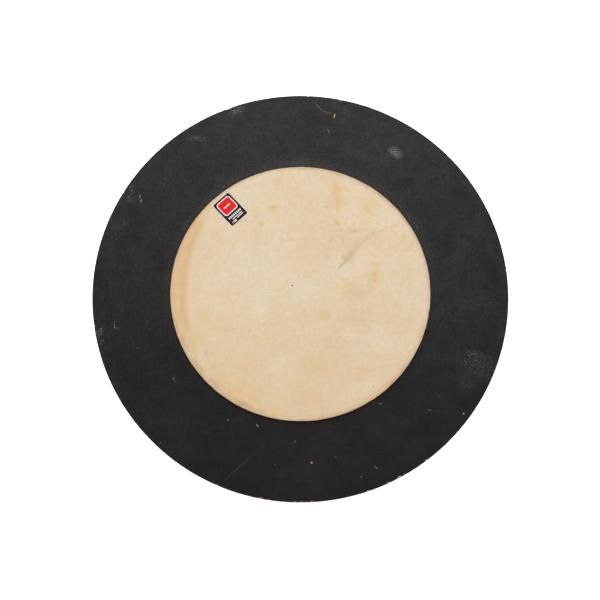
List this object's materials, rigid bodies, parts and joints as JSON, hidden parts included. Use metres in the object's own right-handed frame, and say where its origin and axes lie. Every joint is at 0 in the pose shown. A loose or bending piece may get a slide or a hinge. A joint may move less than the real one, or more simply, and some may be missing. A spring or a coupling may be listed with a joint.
{
  "type": "tambourine head on board",
  "caption": "Round natural hide head lapped on a hidden hoop and fixed to a larger round black board on low rubber feet.",
  "frame": {"origin": "on the ground plane under the centre of the board, at the centre of the bounding box's bottom", "axes": "+Z is the board's axis, up through the playing face; the label lies towards -X and +Y"},
  "size_m": [0.4064, 0.4064, 0.0231],
  "materials": {
    "board_paint": "matte black paint on plywood, worn at the edge",
    "natural_hide": "satin untreated hide",
    "hoop_wood": "bare bent beech",
    "grey_felt": "pressed wool felt",
    "label_paper": "printed gloss paper",
    "screw_steel": "zinc plated",
    "cup_brass": "dull brass",
    "foot_rubber": "matte moulded rubber",
    "washer_zinc": "zinc plated"
  },
  "bodies": {
    "root": {"base_board": "board_paint", "flesh_hoop": "hoop_wood", "head_skin": "natural_hide", "felt_damper": "grey_felt", "label": "label_paper", "hoop_screw_1": "screw_steel", "hoop_screw_2": "screw_steel", "hoop_screw_3": "screw_steel", "hoop_screw_4": "screw_steel", "hoop_screw_5": "screw_steel", "hoop_screw_6": "screw_steel", "hoop_screw_7": "screw_steel", "hoop_screw_8": "screw_steel", "hoop_washer_1": "cup_brass", "hoop_washer_2": "cup_brass", "hoop_washer_3": "cup_brass", "hoop_washer_4": "cup_brass", "hoop_washer_5": "cup_brass", "hoop_washer_6": "cup_brass", "hoop_washer_7": "cup_brass", "hoop_washer_8": "cup_brass", "rubber_foot_1": "foot_rubber", "rubber_foot_2": "foot_rubber", "rubber_foot_3": "foot_rubber", "rubber_foot_4": "foot_rubber", "foot_screw_1": "screw_steel", "foot_screw_2": "screw_steel", "foot_screw_3": "screw_steel", "foot_screw_4": "screw_steel", "foot_washer_1": "washer_zinc", "foot_washer_2": "washer_zinc", "foot_washer_3": "washer_zinc", "foot_washer_4": "washer_zinc"}
  },
  "joints": []
}
